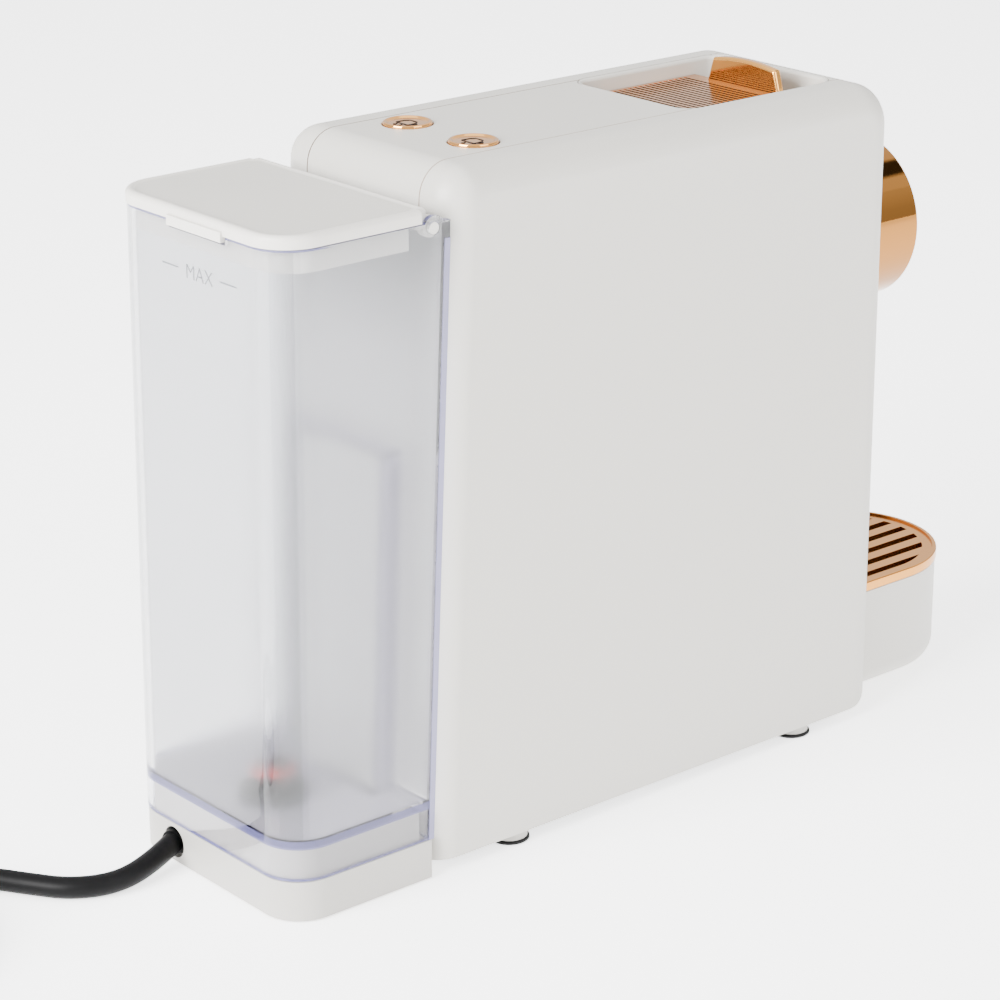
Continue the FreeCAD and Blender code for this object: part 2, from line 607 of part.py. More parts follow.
# --- tank valve and the socket it plugs into ----------------------------------------------------
valve_low = 17.5
valve_top = tank_floor + 3
valve_bore = 4.4
seal_thick = 1.2
web_z = valve_low + 8.5
valve_rim = valve_radius + 2.5
poppet_radius = 1.6
valve = post(valve_radius, valve_x, valve_y, valve_low, valve_top)
valve = valve.fuse(post(valve_rim, valve_x, valve_y, tank_floor + seal_thick, valve_top - 0.4))
valve = valve.cut(post(valve_bore, valve_x, valve_y, valve_low - 1, far))
valve = valve.fuse(ring(valve_bore + 0.2, poppet_radius + run_gap, valve_x, valve_y, web_z, web_z + 1.4))
parts["valve_body"] = one(valve)
parts["valve_seal"] = ring(valve_rim - 0.3, valve_radius, valve_x, valve_y, tank_floor, tank_floor + seal_thick)
poppet_low = valve_low + 3
poppet_disc = valve_top + 3.2
clip_top = poppet_low + 1.2
poppet = post(6.2, valve_x, valve_y, poppet_disc, poppet_disc + 1.8)
poppet = poppet.fuse([post(poppet_radius, valve_x, valve_y, poppet_low, poppet_disc + 0.5),
                      post(3.8, valve_x, valve_y, poppet_low, clip_top)])
parts["valve_poppet"] = one(poppet)
# The spring pushes the stem down, so that the valve shuts when the tank is lifted off its probe.
parts["valve_spring"] = ring(3.4, 2.6, valve_x, valve_y, clip_top, web_z)
socket_floor = valve_low - 1.5
socket_bore = valve_radius + 0.8
port_x = inlet_hose_x
socket = post(socket_radius - 0.4, valve_x, valve_y, base_low + 2, pedestal_top - loose)
socket = socket.cut(post(socket_bore, valve_x, valve_y, socket_floor, far))
socket = socket.fuse(post(1.4, valve_x, valve_y, socket_floor - 1, poppet_low - 0.1))
socket = socket.cut([post(1.8, port_x, valve_y, inlet_hose_z - 1, far),
                     rod(1.8, (port_x, 0, inlet_hose_z), (port_x, valve_y, inlet_hose_z))])
parts["inlet_socket"] = one(socket)
parts["inlet_seal"] = ring(socket_bore, 3.2, valve_x, valve_y, socket_floor, valve_low - clear)
parts["inlet_seal"] = one(parts["inlet_seal"].cut(post(1.8, port_x, valve_y, 0, far)))

# --- drip tray, grille and pod bin --------------------------------------------------------------
tray_rear = body_front - 0.5
tray_inset = 0.4


def d_block(inset, z0, z1, rear_inset=0.0):
    """Straight-sided block with a half-round front end."""
    centre = tray_front + tray_half
    block = post(tray_half - inset, 0, centre, z0, z1)
    block = block.fuse(box(inset - tray_half, tray_half - inset, centre, far, z0, z1))
    return one(block.common(box(-far, far, -far, tray_rear - rear_inset, z0, z1)))


tray = round_edges(d_block(tray_inset, tray_low, tray_top), 7.0,
                   lambda at, along: at.z < tray_low + 0.1 and at.y < tray_rear - 0.1)
tray = tray.cut(d_block(tray_inset + tray_wall, tray_low + tray_wall + 5, far, tray_wall))
tongue_low, tongue_high = chassis_top + 0.6, chassis_top + 3.4
slide_gap = 0.8
tongue = box(slide_gap - drawer_half, drawer_half - slide_gap, tray_rear - 1, body_front + drawer_depth - 4,
             tongue_low, tongue_high)
parts["drip_tray"] = one(tray.fuse(tongue))

rim_width, rim_rise = 1.5, 0.7
slot_pitch, slot_width, slot_margin, slot_count = 8.1, 3.5, 5.2, 8
grille = round_edges(d_block(0, grille_low, grille_top), 0.5, lambda at, along: abs(along.z) < 0.1)
grille = grille.cut(d_block(rim_width, grille_top - rim_rise, far, rim_width))
slot_field = d_block(slot_margin, 0, far, slot_margin + 1)
for index in range(slot_count):
    x = (index - (slot_count - 1) / 2) * slot_pitch
    grille = grille.cut(slot_field.common(box(x - slot_width / 2, x + slot_width / 2, -far, far, 0, far)))
parts["drip_grille"] = one(grille)

bin_wall, bin_corner = 1.6, 5.0
bin_half = drawer_half - 1.6
bin_y0, bin_y1 = body_front + shell_wall + slide_gap, body_front + drawer_depth - 6
bin_high = drawer_top - 2
pod_bin = pan(-bin_half, bin_half, bin_y0, bin_y1, tongue_high, bin_high, bin_corner)
pod_bin = pod_bin.cut(pan(bin_wall - bin_half, bin_half - bin_wall, bin_y0 + bin_wall, bin_y1 - bin_wall,
                          tongue_high + 2, far, bin_corner - bin_wall))
panel_gap = 0.4
pod_bin = pod_bin.fuse(box(panel_gap - drawer_half, drawer_half - panel_gap, body_front + 0.1, bin_y0 + 0.5,
                           grille_top + 1.2, drawer_top - panel_gap))
parts["pod_bin"] = one(pod_bin)

# --- buttons and their board --------------------------------------------------------------------
button_top = top_z + button_rise
flange_high = top_z - shell_wall - clear
flange_low = flange_high - 1.6
switch_height = 3.9
plunger_radius = 2.4
for side, x in (("left", -button_x), ("right", button_x)):
    cap = post(button_radius, x, button_y, flange_high - 1, button_top)
    cap = cap.makeChamfer(0.8, [e for e in cap.Edges if e.valueAt(e.FirstParameter).z > button_top - 0.1])
    cap = cap.fuse(post(button_radius + 1.2, x, button_y, flange_low, flange_high))
    cap = cap.fuse(post(plunger_radius, x, button_y, board_z + switch_height + 1.8, flange_high))
    parts["button_" + side] = one(cap)
    parts["button_spring_" + side] = ring(6.2, 5.4, x, button_y, board_z, flange_low)
board = box(-button_x - 9.2, button_x + 9.2, post_y[0] - 4, post_y[1] + 4, board_z - 1.6, board_z)
board = board.fuse([box(x - 3, x + 3, button_y - 3, button_y + 3, board_z - 0.1, board_z + switch_height)
                    for x in (-button_x, button_x)])
parts["button_board"] = one(board.cut([post(board_screw_radius, 0, y, 0, far) for y in post_y]))
parts["board_screws"] = Part.makeCompound([
    one(post(2.2, 0, y, board_z - 3.2, board_z - 1.6).fuse(post(board_screw_radius, 0, y, board_z - 2, board_z + 5)))
    for y in post_y])

# --- heater -------------------------------------------------------------------------------------
heater_ports = ((-16.0, heater_z0 + 10), (16.0, heater_z1 - 10))
barb_radius, barb_bore = 2.6, 1.6
heater = box(-heater_half, heater_half, heater_y0, heater_y1, heater_z0, heater_z1)
heater = round_edges(heater, 5.0, lambda at, along: abs(along.y) > 0.9)
for x, z in heater_ports:
    heater = heater.fuse(rod(barb_radius, (x, heater_y1 - 1, z), (x, heater_y1 + 8, z)))
    heater = heater.cut(rod(barb_bore, (x, heater_y0 + 6, z), (x, far, z)))
parts["thermoblock"] = one(heater)

# --- pump ---------------------------------------------------------------------------------------
pump_x, pump_y = 16.0, body_rear - 36
pump_bore = 5.0
coil_half, coil_z0, coil_z1 = 16.0, 48.0, 96.0
neck_radius, neck_length, nozzle_reach = 11.0, 24.0, 8.0
pump = pan(pump_x - coil_half, pump_x + coil_half, pump_y - coil_half, pump_y + coil_half, coil_z0, coil_z1, 3.0)
pump_low, pump_high = coil_z0 - neck_length, coil_z1 + neck_length
pump = pump.fuse([post(neck_radius, pump_x, pump_y, pump_low, pump_high),
                  post(barb_radius, pump_x, pump_y, pump_low - nozzle_reach, pump_high + nozzle_reach)])
plunger_stop = coil_z1 + 16
plunger_low, plunger_high = coil_z0 + 2, coil_z1 - 10
pump = pump.cut([post(pump_bore, pump_x, pump_y, plunger_low - 0.1, plunger_stop),
                 post(barb_bore, pump_x, pump_y, 0, far)])
parts["pump_body"] = one(pump)
parts["pump_plunger"] = ring(pump_bore - run_gap, barb_bore, pump_x, pump_y, plunger_low, plunger_high)
parts["pump_spring"] = ring(pump_bore - 0.6, pump_bore - 1.4, pump_x, pump_y, plunger_high, plunger_stop)
mount_half, mount_height = 13.5, 8.0
mount_z = (coil_z0 - mount_height - 4, coil_z1 + 4)
parts["pump_mounts"] = Part.makeCompound([
    one(box(pump_x - mount_half, pump_x + mount_half, pump_y - mount_half, pump_y + mount_half, z, z + mount_height)
        .cut(post(neck_radius, pump_x, pump_y, 0, far))) for z in mount_z])
# The lower mount stands on two walls of the chassis.
pump_stand = [box(x, x + 2, pump_y - mount_half, pump_y + mount_half, chassis_top - 1, mount_z[0])
              for x in (pump_x - mount_half, pump_x + mount_half - 2)]

# --- flow meter ---------------------------------------------------------------------------------
meter_x, meter_y, meter_z = -22.0, body_rear - 34, 30.0
meter_radius, meter_height, axle_radius = 12.0, 14.0, 1.0
port_z = meter_z + meter_height / 2
meter = post(meter_radius, meter_x, meter_y, meter_z, meter_z + meter_height)
meter = meter.fuse([rod(barb_radius, (meter_x, meter_y - meter_radius - 8, port_z),
                        (meter_x, meter_y + meter_radius + 7, port_z))])
meter = meter.cut([rod(barb_bore, (meter_x, -far, port_z), (meter_x, far, port_z)),
                   post(9.0, meter_x, meter_y, meter_z + 2, meter_z + meter_height - 2)])
meter = meter.fuse(post(axle_radius, meter_x, meter_y, meter_z + 1, meter_z + meter_height - 1))
parts["flow_meter"] = one(meter)
wheel_z0, wheel_z1 = meter_z + 3, meter_z + meter_height - 3
wheel = post(3.0, meter_x, meter_y, wheel_z0, wheel_z1)
for blade in range(6):
    fin = box(meter_x + 2, meter_x + 8.4, meter_y - 0.5, meter_y + 0.5, wheel_z0, wheel_z1)
    fin.rotate(Vector(meter_x, meter_y, 0), Vector(0, 0, 1), 60 * blade)
    wheel = wheel.fuse(fin)
parts["flow_impeller"] = one(wheel.cut(post(axle_radius + run_gap, meter_x, meter_y, 0, far)))
meter_stand = [box(x, x + 2, meter_y - 9, meter_y + 9, chassis_top - 1, meter_z)
               for x in (meter_x - 9, meter_x + 7)]
parts["bottom_chassis"] = one(chassis.fuse(pump_stand + meter_stand).cut(screws))

# --- control board ------------------------------------------------------------------------------
board_thick = 1.6
board_y0, board_y1 = inner_y1 - 24, inner_y1 + 56
control = box(control_x, control_x + board_thick, board_y0, board_y1, brew_z - 115, brew_z + 5)
control = control.fuse([box(control_x - 14, control_x + 0.1, board_y0 + 32, board_y0 + 48, brew_z - 21, brew_z + 1),
                        box(control_x - 9, control_x + 0.1, board_y0 + 54, board_y0 + 72, brew_z - 41, brew_z - 25),
                        rod(5.0, (control_x - 12, board_y0 + 40, brew_z - 33),
                            (control_x + 0.1, board_y0 + 40, brew_z - 33))])
parts["control_board"] = one(control)


# --- hoses and cord -----------------------------------------------------------------------------
def route_wire(points):
    """Straight runs joined by tangent arcs through the route's points; also returns the arcs' radii."""
    ends = [Vector(*p) for p in points]
    edges, radii = [], []
    start = ends[0]
    for before, corner, after in zip(ends, ends[1:], ends[2:]):
        into, out = corner - before, after - corner
        cut = 0.45 * min(into.Length, out.Length)
        into.normalize()
        out.normalize()
        half_turn = into.getAngle(out) / 2
        radii.append(cut / math.tan(half_turn))
        a, b = corner - into * cut, corner + out * cut
        inward = (out - into).normalize()
        middle = corner + inward * (radii[-1] / math.cos(half_turn) - radii[-1])
        edges.append(Part.LineSegment(start, a).toShape())
        edges.append(Part.Arc(a, middle, b).toShape())
        start = b
    edges.append(Part.LineSegment(start, ends[-1]).toShape())
    return Part.Wire(edges), radii


def tube(points, radius):
    """Round tube along a route, its length and its arcs' radii."""
    wire, radii = route_wire(points)
    first = Vector(*points[1]) - Vector(*points[0])
    profile = Part.Wire(Part.makeCircle(radius, Vector(*points[0]), first))
    return wire.makePipeShell([profile], True, True).Solids[0], wire.Length, radii


rear_port = meter_y + meter_radius
front_port = meter_y - meter_radius
parts["hose_inlet"] = tube([
    (inlet_hose_x, valve_y - 9, inlet_hose_z), (inlet_hose_x, body_rear - 8, inlet_hose_z),
    (-11, body_rear - 12, 16), (meter_x, body_rear - 9, 27), (meter_x, rear_port + 14, port_z),
    (meter_x, rear_port + 1, port_z)], hose_radius)[0]
parts["hose_pump"] = tube([
    (meter_x, front_port - 1, port_z), (meter_x, front_port - 20, port_z), (meter_x + 8, front_port - 24, 22),
    (pump_x - 8, front_port - 18, 13), (pump_x, pump_y - 12, 11.4), (pump_x, pump_y, 12),
    (pump_x, pump_y, pump_low - 1)], hose_radius)[0]
parts["hose_heater"] = tube([
    (pump_x, pump_y, pump_high + 1), (pump_x, pump_y, pump_high + 20), (pump_x - 12, pump_y - 10, pump_high + 30),
    (-10, heater_y1 + 26, pump_high + 22), (-16, heater_y1 + 22, heater_z0 + 22),
    (-16, heater_y1 + 20, heater_z0 + 10), (-16, heater_y1 + 1, heater_z0 + 10)], hose_radius)[0]

cord_route = [(x, tank_rear + behind, z) for x, behind, z in (
    (cord_x, 0.05, cord_z), (14.9, 12.75, 5.8), (14.0, 26.35, 4.2), (18.0, 40.45, 3.8), (26.1, 51.75, 3.8),
    (37.9, 61.05, 3.8), (50.2, 73.15, 3.8), (60.2, 85.95, 3.8), (69.9, 97.85, 3.8))]
cord, cord_length, cord_radii = tube(cord_route, cord_radius)
print("cord: length", round(cord_length, 1), "radii", [round(r, 1) for r in cord_radii],
      "volume ratio", round(cord.Volume / (math.pi * cord_radius ** 2 * cord_length), 4))
parts["power_cord"] = cord

coil_x, coil_y = 36.6, tank_rear + 125.95
coil_inner, coil_outer, coil_height = 32.8, 47.2, 4 * cord_radius
parts["cord_coil"] = ring(coil_outer, coil_inner, coil_x, coil_y, 0, coil_height)
exit_point, second_point = Vector(*cord_route[0]), Vector(*cord_route[1])
inward = (exit_point - second_point).normalize()
relief_length = 24.0
parts["strain_relief"] = taper(grommet_radius + 0.6, cord_radius + 0.6, tuple(exit_point + inward * relief_length),
                               tuple(exit_point))

# The cord leaves the coil level with its top turns, and ends in a two-blade plug.
tail_y, tail_z, tail_length = coil_y + coil_outer - cord_radius, 3 * cord_radius, 28.0
tail_end = (coil_x - tail_length, tail_y, tail_z)
parts["cord_tail"] = rod(cord_radius, (coil_x, tail_y, tail_z), tail_end)
sleeve_length, plug_length, plug_half, plug_low, plug_high = 22.0, 31.5, 13.0, 0.2, 23.0
plug_x1 = tail_end[0] - sleeve_length
plug_x0 = plug_x1 - plug_length
plug = box(plug_x0, plug_x1 + 0.2, tail_y - plug_half, tail_y + plug_half, plug_low, plug_high)
plug = round_edges(plug, 4.0, lambda at, along: crosswise(along))
parts["plug_body"] = one(plug.fuse(taper(cord_radius + 0.3, 7.0, tail_end, (plug_x1, tail_y, tail_z))))
blade_gap, blade_thick, blade_length = 6.35, 1.5, 16.0
parts["plug_blades"] = Part.makeCompound([
    box(plug_x0 - blade_length, plug_x0, y - blade_thick / 2, y + blade_thick / 2, tail_z - 2, tail_z + 4.3)
    for y in (tail_y - blade_gap, tail_y + blade_gap)])

# --- files --------------------------------------------------------------------------------------
os.makedirs("parts", exist_ok=True)
for name, shape in parts.items():
    shape.exportStep("parts/" + name + ".step")
    print(name, len(shape.Solids), "ok" if shape.isValid() and shape.Solids else "BAD")
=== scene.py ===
import bmesh
import bpy
import math
from mathutils import Matrix, Quaternion, Vector


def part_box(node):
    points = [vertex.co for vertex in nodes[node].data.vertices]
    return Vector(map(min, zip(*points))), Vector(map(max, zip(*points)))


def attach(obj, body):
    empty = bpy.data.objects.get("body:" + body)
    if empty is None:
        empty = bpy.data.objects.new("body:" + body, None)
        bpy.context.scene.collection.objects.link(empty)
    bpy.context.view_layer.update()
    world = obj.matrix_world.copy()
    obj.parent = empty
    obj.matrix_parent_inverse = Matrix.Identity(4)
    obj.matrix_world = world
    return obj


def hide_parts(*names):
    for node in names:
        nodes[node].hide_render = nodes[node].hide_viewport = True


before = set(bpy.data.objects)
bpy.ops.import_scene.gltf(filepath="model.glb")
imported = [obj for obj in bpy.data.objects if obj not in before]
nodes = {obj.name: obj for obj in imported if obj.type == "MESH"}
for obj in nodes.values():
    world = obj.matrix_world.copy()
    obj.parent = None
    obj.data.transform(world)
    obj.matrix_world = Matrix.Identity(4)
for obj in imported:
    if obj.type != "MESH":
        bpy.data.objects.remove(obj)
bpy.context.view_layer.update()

# --- Camera -----------------------------------------------------------------------------------------
# The machine is seen from behind its left shoulder, from a little above the tank's lid,
# through a long lens, so that its upright edges stay nearly parallel.
azimuth, elevation, roll = math.radians(229.792), math.radians(19.952), math.radians(-0.166)
back = Vector((math.sin(azimuth) * math.cos(elevation), -math.cos(azimuth) * math.cos(elevation),
               math.sin(elevation)))
lens = bpy.data.cameras.new("camera")
lens.lens = 115.06
lens.sensor_width = 36.0
lens.clip_start = 0.02
camera = bpy.data.objects.new("camera", lens)
bpy.context.scene.collection.objects.link(camera)
camera.location = (-0.76108, 0.68223, 0.46346)
camera.rotation_mode = "QUATERNION"
camera.rotation_quaternion = (-back).to_track_quat("-Z", "Y") @ Quaternion((0, 0, 1), roll)
bpy.context.scene.camera = camera


# --- Studio -----------------------------------------------------------------------------------------
# A matt pale floor, a pale room that is a little darker near the horizon so that polished metal has
# something to show, a large soft box on each side of the camera and one overhead.
def colour(red, green, blue):
    """Screen colour, 0 to 255, as the linear colour a shader takes."""
    linear = [c / 255 / 12.92 if c <= 10 else ((c / 255 + 0.055) / 1.055) ** 2.4 for c in (red, green, blue)]
    return (*linear, 1.0)


def new_piece(name, mesh):
    """Object at the origin, its place in its mesh."""
    piece = bpy.data.objects.new(name, mesh)
    bpy.context.scene.collection.objects.link(piece)
    return piece


floor_half, floor_glow = 12.0, 2.0
floor_mesh = bpy.data.meshes.new("floor")
floor_build = bmesh.new()
bmesh.ops.create_grid(floor_build, x_segments=1, y_segments=1, size=floor_half)
floor_build.to_mesh(floor_mesh)
floor_build.free()
floor = new_piece("floor", floor_mesh)
floor_paint = bpy.data.materials.new("floor_paint")
floor_paint.use_nodes = True
floor_shader = floor_paint.node_tree.nodes["Principled BSDF"]
floor_shader.inputs["Base Color"].default_value = colour(252, 252, 252)
floor_shader.inputs["Roughness"].default_value = 0.9
floor_shader.inputs["Specular IOR Level"].default_value = 0.1
floor_shader.inputs["Emission Color"].default_value = (1.0, 1.0, 1.0, 1.0)
floor_shader.inputs["Emission Strength"].default_value = floor_glow
floor_mesh.materials.append(floor_paint)

world = bpy.data.worlds.new("studio")
world.use_nodes = True
bpy.context.scene.world = world
tree = world.node_tree
room = tree.nodes["Background"]
direction = tree.nodes.new("ShaderNodeTexCoord")
split = tree.nodes.new("ShaderNodeSeparateXYZ")
ramp = tree.nodes.new("ShaderNodeValToRGB")
tree.links.new(direction.outputs["Generated"], split.inputs[0])
tree.links.new(split.outputs["Z"], ramp.inputs[0])
lit = ramp.outputs[0]
# Two dark flags in the room, each a direction, how narrow it is, and how much light it leaves.
flag_blur = 0.012
for toward, edge, level in (((-0.76, -0.6, 0.1), 0.90, 0.8), ((-0.25, -0.6, 0.75), 0.970, 0.05)):
    flag = tree.nodes.new("ShaderNodeVectorMath")
    flag.operation = "DOT_PRODUCT"
    flag.inputs[1].default_value = Vector(toward).normalized()
    flag_edge = tree.nodes.new("ShaderNodeMapRange")
    for number, value in ((1, edge), (2, edge + flag_blur), (3, 1.0), (4, level)):
        flag_edge.inputs[number].default_value = value
    dimmed = tree.nodes.new("ShaderNodeVectorMath")
    dimmed.operation = "SCALE"
    tree.links.new(direction.outputs["Generated"], flag.inputs[0])
    tree.links.new(flag.outputs["Value"], flag_edge.inputs[0])
    tree.links.new(lit, dimmed.inputs[0])
    tree.links.new(flag_edge.outputs[0], dimmed.inputs["Scale"])
    lit = dimmed.outputs[0]
tree.links.new(lit, room.inputs["Color"])
room_strength, room_blue = 1.9, 1.01
for position, grey in ((0.0, 0.62), (0.16, 0.66), (0.4, 0.9), (1.0, 1.5)):
    stop = ramp.color_ramp.elements[0] if position == 0.0 else ramp.color_ramp.elements.new(position)
    stop.position = position
    stop.color = (grey, grey, grey * room_blue, 1.0)
room.inputs["Strength"].default_value = room_strength


def soft_box(name, place, target, wide, high, power):
    """Rectangular light that faces its target."""
    light = bpy.data.lights.new(name, "AREA")
    light.shape = "RECTANGLE"
    light.size = wide
    light.size_y = high
    light.energy = power
    lamp = bpy.data.objects.new(name, light)
    bpy.context.scene.collection.objects.link(lamp)
    lamp.location = place
    lamp.rotation_mode = "QUATERNION"
    lamp.rotation_quaternion = (Vector(target) - Vector(place)).to_track_quat("-Z", "Y")


soft_box("key_light", (-1.9, -0.35, 1.1), (0, 0, 0.12), 1.5, 1.3, 34.0)
soft_box("rear_light", (-0.1, 2.1, 1.0), (0, 0.1, 0.12), 1.5, 1.2, 215.0)
soft_box("top_light", (0.1, 0.1, 2.0), (0, 0, 0), 1.6, 1.6, 12.0)

# --- Power cord -------------------------------------------------------------------------------------
# Round three-core flexible cord in black satin PVC, 7.2 mm thick. It leaves the rear base through a
# bush, lies on the table, and what is spare is wound beside the machine and ends in a moulded plug.
mm = 0.001
grain = bpy.data.node_groups.new("moulded_grain", "ShaderNodeTree")
for socket_name, socket_type, start in (
        ("Colour", "NodeSocketColor", (0.8, 0.8, 0.8, 1.0)), ("Cloud", "NodeSocketFloat", 0.03),
        ("Roughness", "NodeSocketFloat", 0.4), ("Patchiness", "NodeSocketFloat", 0.06),
        ("Grain Size", "NodeSocketFloat", 900.0), ("Grain Depth", "NodeSocketFloat", 0.03)):
    socket = grain.interface.new_socket(name=socket_name, in_out="INPUT", socket_type=socket_type)
    socket.default_value = start
for socket_name, socket_type in (("Colour", "NodeSocketColor"), ("Roughness", "NodeSocketFloat"),
                                 ("Normal", "NodeSocketVector")):
    grain.interface.new_socket(name=socket_name, in_out="OUTPUT", socket_type=socket_type)


def joined(tree, kind, settings=None, **links):
    """New node with its settings, and its inputs linked to sockets or set to values."""
    node = tree.nodes.new(kind)
    for key, value in (settings or {}).items():
        setattr(node, key, value)
    for key, value in links.items():
        socket = node.inputs[int(key[1:])] if key[1:].isdigit() else node.inputs[key.replace("_", " ")]
        if isinstance(value, bpy.types.NodeSocket):
            tree.links.new(value, socket)
        else:
            socket.default_value = value
    return node


inside = joined(grain, "NodeGroupInput").outputs
place = joined(grain, "ShaderNodeTexCoord").outputs["Object"]
cloud = joined(grain, "ShaderNodeTexNoise", Vector=place, Scale=26.0, Detail=3.0, Roughness=0.6)
fine = joined(grain, "ShaderNodeTexNoise", Vector=place, Scale=inside["Grain Size"], Detail=2.0)
lightness = joined(grain, "ShaderNodeMapRange", i0=cloud.outputs[0], i1=0.3, i2=0.7, i3=-1.0, i4=1.0)
swing = joined(grain, "ShaderNodeMath", {"operation": "MULTIPLY_ADD"}, i0=lightness.outputs[0],
               i1=inside["Cloud"], i2=1.0)
tinted = joined(grain, "ShaderNodeVectorMath", {"operation": "SCALE"}, i0=inside["Colour"],
                Scale=swing.outputs[0])
patch = joined(grain, "ShaderNodeMath", {"operation": "MULTIPLY_ADD"}, i0=lightness.outputs[0],
               i1=inside["Patchiness"], i2=inside["Roughness"])
bump = joined(grain, "ShaderNodeBump", Height=fine.outputs[0], Strength=inside["Grain Depth"],
              Distance=0.4 * mm)
joined(grain, "NodeGroupOutput", i0=tinted.outputs[0], i1=patch.outputs[0], i2=bump.outputs[0])


def moulded(name, tint, cloud=0.03, rough=0.4, patchy=0.05, size=900.0, depth=0.05, **sockets):
    """Material with the moulded grain and plain values on the shader's other sockets."""
    material = bpy.data.materials.new(name)
    material.use_nodes = True
    tree = material.node_tree
    shader = tree.nodes["Principled BSDF"]
    for key, value in sockets.items():
        shader.inputs[key.replace("_", " ")].default_value = value
    texture = joined(tree, "ShaderNodeGroup", {"node_tree": grain}, Colour=tint, Cloud=cloud, Roughness=rough,
                     Patchiness=patchy, Grain_Size=size, Grain_Depth=depth)
    for key, entry in (("Colour", "Base Color"), ("Roughness", "Roughness"), ("Normal", "Normal")):
        tree.links.new(texture.outputs[key], shader.inputs[entry])
    return material


cord_skin = moulded("cord_skin", (0.0011, 0.0011, 0.0013, 1.0), cloud=0.12, rough=0.46, patchy=0.08,
                    size=700.0, depth=0.12, Specular_IOR_Level=0.11)
cord_radius = 3.6 * mm
route = [
    (20.0, 160.7, 7.4), (14.8, 173.2, 5.6), (13.4, 187.2, 3.9), (19.6, 200.2, 3.7), (31.2, 208.2, 3.7),
    (43.6, 216.0, 3.7), (54.0, 228.0, 3.7), (62.7, 242.8, 3.8), (69.9, 258.5, 3.8)]
coil_x, coil_y = 36.6, 286.6
outer_turn, inner_turn, low_turn, high_turn = 43.6, 36.4, 3.8, 11.0
points_per_turn, turns, enter = 16, 3.36, -40.2
cut_inside = 0.981       # an order 3 spline runs this much inside the circle of its points


def between(start, end, value):
    """How far a value has come from start to end, from 0 to 1."""
    return max(0.0, min(1.0, (value - start) / (end - start)))


steps = round(points_per_turn * turns)
for step in range(2, steps + 1):
    t = turns * step / steps
    angle = math.radians(enter + 360 * t)
    inward = between(0.75, 0.97, t) - between(2.3, 2.5, t)
    radius = (outer_turn - (outer_turn - inner_turn) * inward) / cut_inside
    height = low_turn + (high_turn - low_turn) * between(1.5, 1.75, t)
    route.append((coil_x + radius * math.cos(angle), coil_y + radius * math.sin(angle), height))
tail_y = coil_y + outer_turn
route += [(27.0, tail_y, 10.9), (17.0, tail_y, 10.8), (8.6, tail_y, 10.8)]
line = bpy.data.curves.new("mains_cord", "CURVE")
line.dimensions = "3D"
line.bevel_depth = cord_radius
line.bevel_resolution = 6
line.resolution_u = 12
spline = line.splines.new("NURBS")
spline.points.add(len(route) - 1)
for point, spot in zip(spline.points, route):
    point.co = (*(value * mm for value in spot), 1.0)
spline.order_u = 3
spline.use_endpoint_u = True
line.materials.append(cord_skin)
mains_cord = new_piece("mains_cord", line)


def stand_in(piece, body, slot, *replaced):
    """The piece rides on a body and stands for CAD nodes, which it hides; slot is not used."""
    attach(piece, body)
    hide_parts(*replaced)


stand_in(mains_cord, "housing", "black_rubber", "power_cord", "cord_coil", "cord_tail")


def eased(node, width, segments=2):
    """A CAD solid as one clean mesh, with its sharp edges rounded by width, in millimetres."""
    weld, flat, least_angle = 0.002 * mm, math.radians(0.4), math.radians(32.0)
    build = bmesh.new()
    build.from_mesh(nodes[node].data)
    bmesh.ops.remove_doubles(build, verts=build.verts, dist=weld)
    bmesh.ops.dissolve_limit(build, angle_limit=flat, verts=build.verts, edges=build.edges,
                             use_dissolve_boundaries=False)
    if width:
        sharp = [edge for edge in build.edges
                 if edge.is_manifold and edge.calc_face_angle(0.0) > least_angle]
        bmesh.ops.bevel(build, geom=sharp, offset=width * mm, offset_type="OFFSET", segments=segments,
                        profile=0.5, affect="EDGES", material=-1, clamp_overlap=True)
    return build


def finished(build, name, body, slot, replaced, *materials, sharp=38.0):
    """The built mesh as a smooth-shaded piece on its body."""
    mesh = bpy.data.meshes.new(name)
    build.to_mesh(mesh)
    build.free()
    for polygon in mesh.polygons:
        polygon.use_smooth = True
    mesh.set_sharp_from_angle(angle=math.radians(sharp))
    for material in materials:
        mesh.materials.append(material)
    piece = new_piece(name, mesh)
    weighted = piece.modifiers.new("flat_faces", "WEIGHTED_NORMAL")
    weighted.keep_sharp = True
    stand_in(piece, body, slot, *replaced)


def dress(material, *names):
    """The material on CAD nodes that show as they are."""
    for name in names:
        nodes[name].data.materials[0] = material


plated = moulded("plated_brass", colour(205, 200, 190), cloud=0.04, rough=0.22, patchy=0.08, size=1500.0,
                 depth=0.03, Metallic=1.0)
dress(plated, "plug_blades")
dress(cord_skin, "strain_relief")
plug_shell = moulded("plug_shell", colour(11, 11, 12), cloud=0.1, rough=0.5, size=1100.0, depth=0.15,
                     Specular_IOR_Level=0.25)
finished(eased("plug_body", 0.5), "plug_moulding", "housing", "dark_plastic", ["plug_body"], plug_shell)

# --- Casing -----------------------------------------------------------------------------------------
# Two side shells, a front cover and a top and rear cover in off-white satin ABS, injection moulded
# and clipped over the inner frame, with fine seams along the edges of the middle strip, darkened by
# painted shade on the bevel faces beside each seam.
off_white = (0.46, 0.444, 0.408, 1.0)
casing_white = moulded("casing_white", off_white, cloud=0.008, rough=0.42, patchy=0.04, size=2600.0,
                       depth=0.10)
# Painted shade: a darker beige on the bevel faces that face the seams, standing for the shade in the gap.
seam_painted_shade = moulded("seam_painted_shade", colour(142, 128, 116), rough=0.6)
seam_x, seam_width = 28.15 * mm, 0.3 * mm
for shell in ("side_shell_right", "side_shell_left", "front_cover", "top_rear_cover"):
    panel = eased(shell, 0.3)
    for face in panel.faces:
        if abs(abs(face.calc_center_median().x) - seam_x) < seam_width and abs(face.normal.x) > 0.3:
            face.material_index = 1
    panel_name = shell.replace("shell", "panel").replace("cover", "panel")
    finished(panel, panel_name, "housing", "shell_plastic", [shell], casing_white, seam_painted_shade)

